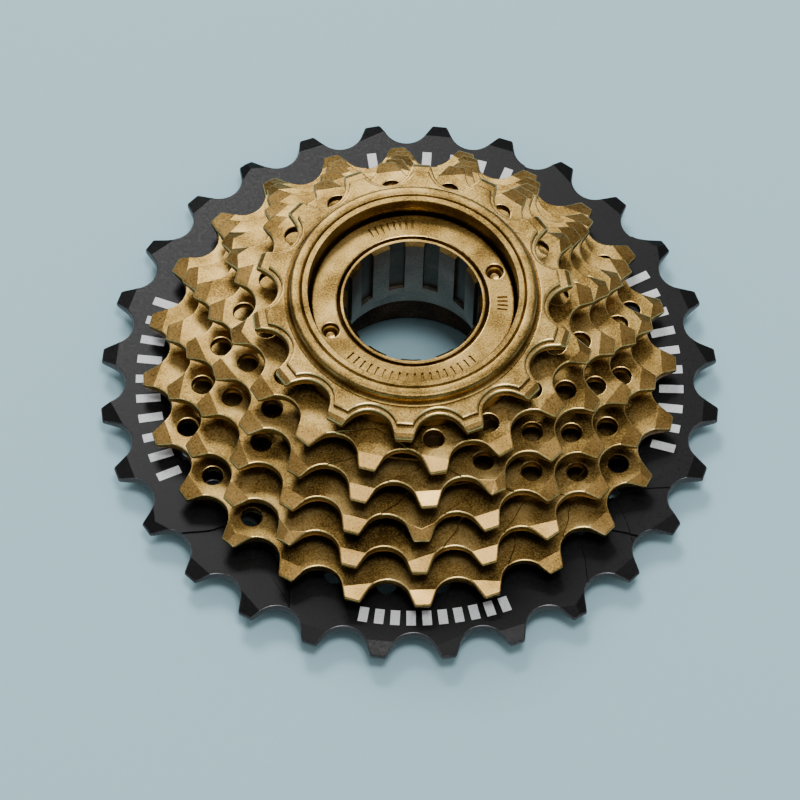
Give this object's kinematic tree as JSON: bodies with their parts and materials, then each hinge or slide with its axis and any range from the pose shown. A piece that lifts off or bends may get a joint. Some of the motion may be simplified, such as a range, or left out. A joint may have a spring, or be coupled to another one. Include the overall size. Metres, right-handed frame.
{
  "type": "multi-speed freewheel",
  "caption": "Screw-on bicycle freewheel: a stepped stack of sprockets on a ratchet body that threads onto a hub, with a splined remover socket.",
  "frame": {"origin": "centre of the core's back face, which seats on the hub shoulder", "axes": "+Z along the axle from the hub towards the smallest sprocket; the wide spline of the shell is on +X"},
  "size_m": [0.1148, 0.1148, 0.0382],
  "materials": {
    "plated_steel": "brown-gold plated steel, satin, with bright worn edges",
    "black_coated_steel": "satin black coating",
    "dark_steel": "blackened turned steel",
    "shell_steel": "dark phosphated steel",
    "hardened_steel": "ground steel",
    "bright_steel": "polished steel"
  },
  "bodies": {
    "core": {"inner_core": "dark_steel", "lock_ring": "plated_steel", "shim_washers": "bright_steel", "pawl_spring": "bright_steel"},
    "shell": {"freewheel_shell": "shell_steel", "rear_dust_cover": "hardened_steel", "sprocket_28t": "black_coated_steel", "sprocket_24t": "plated_steel", "sprocket_22t": "plated_steel", "sprocket_20t": "plated_steel", "sprocket_18t": "plated_steel", "sprocket_16t": "plated_steel", "sprocket_14t": "plated_steel", "spacer_28_24": "shell_steel", "spacer_24_22": "shell_steel", "spacer_22_20": "shell_steel", "spacer_20_18": "shell_steel", "spacer_18_16": "shell_steel"},
    "front_ball_row": {"front_balls": "bright_steel"},
    "rear_ball_row": {"rear_balls": "bright_steel"},
    "upper_pawl": {"pawl_1": "hardened_steel"},
    "lower_pawl": {"pawl_2": "hardened_steel"}
  },
  "joints": [
    {"name": "freewheel_spin", "type": "hinge", "parent": "core", "child": "shell", "pos_m": [0, 0, 0], "axis": [0, 0, 1], "continuous": true},
    {"name": "front_ball_orbit", "type": "hinge", "parent": "core", "child": "front_ball_row", "pos_m": [0, 0, 0], "axis": [0, 0, 1], "continuous": true},
    {"name": "rear_ball_orbit", "type": "hinge", "parent": "core", "child": "rear_ball_row", "pos_m": [0, 0, 0], "axis": [0, 0, 1], "continuous": true},
    {"name": "pawl_1_lift", "type": "hinge", "parent": "core", "child": "upper_pawl", "pos_m": [0.004, 0.01508, 0.0206], "axis": [0, 0, -1], "range_deg": [0, 12]},
    {"name": "pawl_2_lift", "type": "hinge", "parent": "core", "child": "lower_pawl", "pos_m": [-0.004, -0.01508, 0.0206], "axis": [0, 0, -1], "range_deg": [0, 12]}
  ],
  "couplings": [
    {"joint": "front_ball_orbit", "follows": "freewheel_spin", "ratio": 0.53},
    {"joint": "rear_ball_orbit", "follows": "freewheel_spin", "ratio": 0.53}
  ]
}
